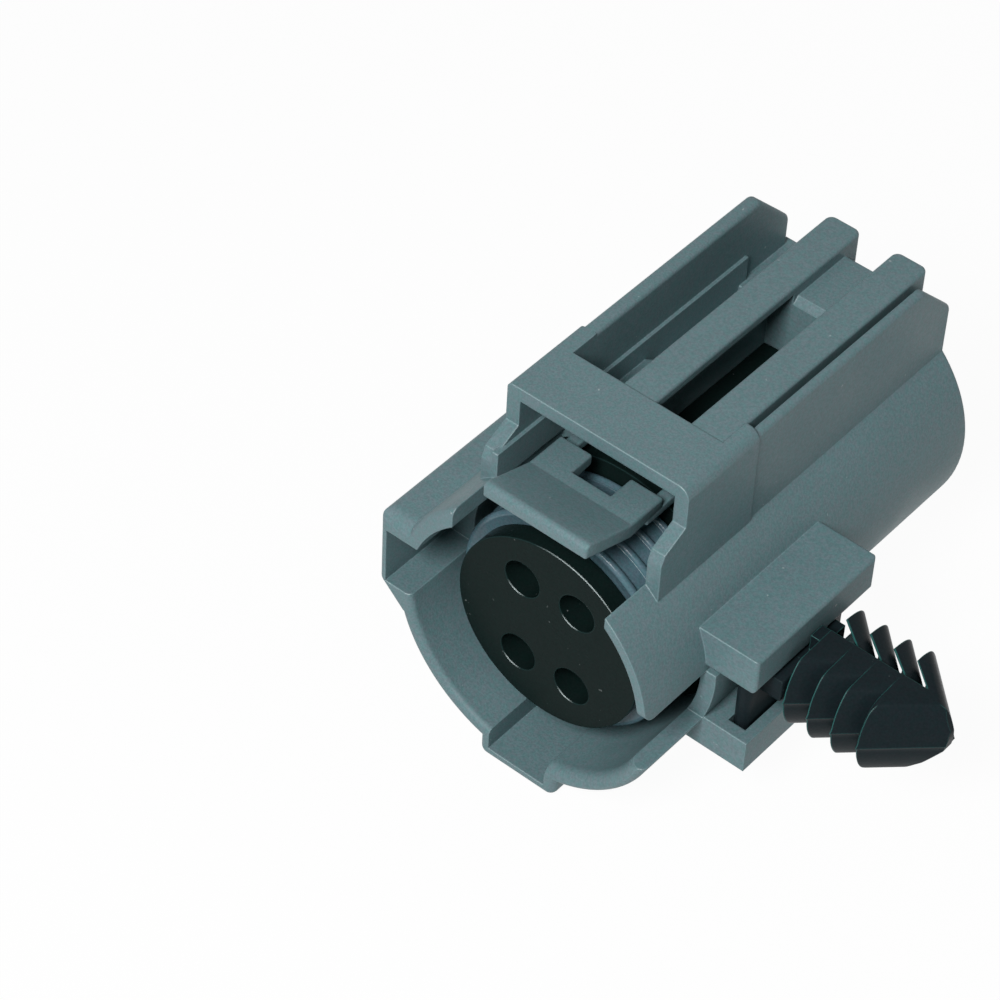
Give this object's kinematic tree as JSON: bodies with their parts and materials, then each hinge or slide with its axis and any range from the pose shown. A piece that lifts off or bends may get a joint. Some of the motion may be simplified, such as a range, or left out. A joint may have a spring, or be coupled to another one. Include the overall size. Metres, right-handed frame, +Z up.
{
  "type": "circular cable connector plug",
  "caption": "Sealed round cable plug with a keyed collar, hooded latch lever, recessed contact insert, rear wire seal and a slide-on fir-tree clip.",
  "frame": {"origin": "on the connector's axis, in the plane of the collar's front face", "axes": "+Y along the connector's axis, from the mating face to the wire end; +Z up, through the latch hood; +X towards the clip rail and its fir-tree clip"},
  "size_m": [0.045, 0.0428, 0.0328],
  "materials": {
    "housing_grey": "satin moulded grey",
    "lever_grey": "satin moulded grey",
    "insert_black": "smooth black",
    "seal_grey": "shiny grey silicone",
    "wire_seal_grey": "soft grey silicone",
    "cap_black": "black",
    "clip_black": "black nylon",
    "contact_metal": "tin plated"
  },
  "bodies": {
    "connector": {"housing": "housing_grey", "contact_insert": "insert_black", "ring_seal": "seal_grey", "wire_seal": "wire_seal_grey", "rear_cap": "cap_black", "contact_1": "contact_metal", "contact_2": "contact_metal", "contact_3": "contact_metal", "contact_4": "contact_metal"},
    "lever": {"latch_lever": "lever_grey"},
    "clip": {"fir_tree_clip": "clip_black"}
  },
  "joints": [
    {"name": "latch_pivot", "type": "hinge", "parent": "connector", "child": "lever", "pos_m": [0, 0.0123, 0.0127], "axis": [-1, 0, 0], "range_deg": [0, 12], "stiffness_Nm_per_rad": 0.2, "springref_deg": -2.86},
    {"name": "clip_slide", "type": "slide", "parent": "connector", "child": "clip", "axis": [0, 1, 0], "range_m": [0, 0.013]}
  ]
}
